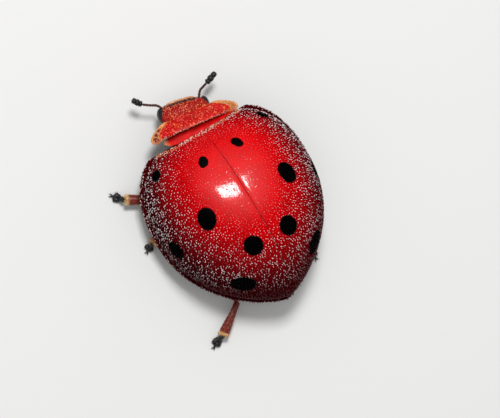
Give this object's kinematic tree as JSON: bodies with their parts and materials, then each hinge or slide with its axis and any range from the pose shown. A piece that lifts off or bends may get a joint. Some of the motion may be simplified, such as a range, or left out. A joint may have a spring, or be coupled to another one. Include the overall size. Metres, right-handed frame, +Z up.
{
  "type": "ladybird",
  "caption": "Red plant-eating ladybird with black spots, standing on its feet with feelers and feet reaching out past the domed wing cases; a still life-size animal.",
  "frame": {"origin": "on the ground under the middle of the animal's overall length and width", "axes": "+Z up; the head points along -Y and the tail along +Y; the animal's left side is +X"},
  "size_m": [0.0067, 0.0093, 0.0037],
  "materials": {
    "red_shell": "hard wing case, scarlet red with black spots, glossy under short pale hair",
    "red_skin": "hard red-brown head capsule with short pale hair",
    "dark_skin": "dark red-brown hard skin of the underside, satin",
    "leg_red": "red-brown hard skin of the legs and feelers, satin",
    "foot_black": "blackish bristly hard skin of the feet and feeler clubs",
    "eye_black": "black faceted eye, glossy"
  },
  "bodies": {
    "root": {"belly": "dark_skin", "chest": "dark_skin", "eye_left": "eye_black", "eye_right": "eye_black", "feeler_left_club": "foot_black", "feeler_left_stalk": "leg_red", "feeler_right_club": "foot_black", "feeler_right_stalk": "leg_red", "fore_chest": "dark_skin", "head": "red_skin", "left_front_foot": "foot_black", "left_front_shin": "leg_red", "left_front_thigh": "leg_red", "left_hind_foot": "foot_black", "left_hind_shin": "leg_red", "left_hind_thigh": "leg_red", "left_middle_foot": "foot_black", "left_middle_shin": "leg_red", "left_middle_thigh": "leg_red", "mouth": "red_skin", "neck_shield": "red_shell", "right_front_foot": "foot_black", "right_front_shin": "leg_red", "right_front_thigh": "leg_red", "right_hind_foot": "foot_black", "right_hind_shin": "leg_red", "right_hind_thigh": "leg_red", "right_middle_foot": "foot_black", "right_middle_shin": "leg_red", "right_middle_thigh": "leg_red", "small_plate": "red_shell", "waist_ring": "red_shell", "wing_case_left": "red_shell", "wing_case_right": "red_shell"}
  },
  "joints": []
}
